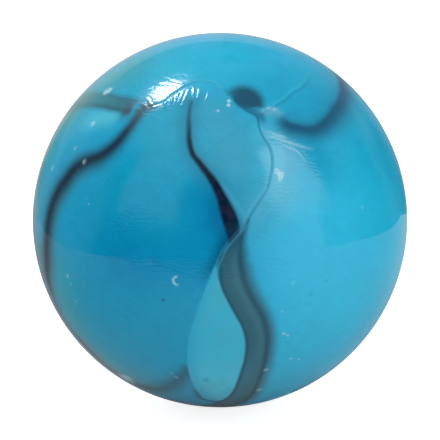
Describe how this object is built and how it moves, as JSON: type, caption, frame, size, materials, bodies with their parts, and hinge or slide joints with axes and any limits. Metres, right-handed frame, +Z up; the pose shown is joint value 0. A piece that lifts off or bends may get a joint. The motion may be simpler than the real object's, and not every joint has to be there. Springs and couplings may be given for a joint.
{
  "type": "glass marble",
  "caption": "Round marble of opaque turquoise glass with dark and pale streaks swirled into its skin and a fold seam that runs down the front from a puckered scar.",
  "frame": {"origin": "centre of the ball", "axes": "+Z up through the top of the ball; the fold seam and its scar face -Y, with +X to the right of someone who looks at them"},
  "size_m": [0.025, 0.025, 0.025],
  "materials": {
    "swirled_glass": "opaque turquoise glass with ink, smoke and pale teal streaks, fire-polished, with small pits"
  },
  "bodies": {
    "root": {"marble": "swirled_glass"}
  },
  "joints": []
}
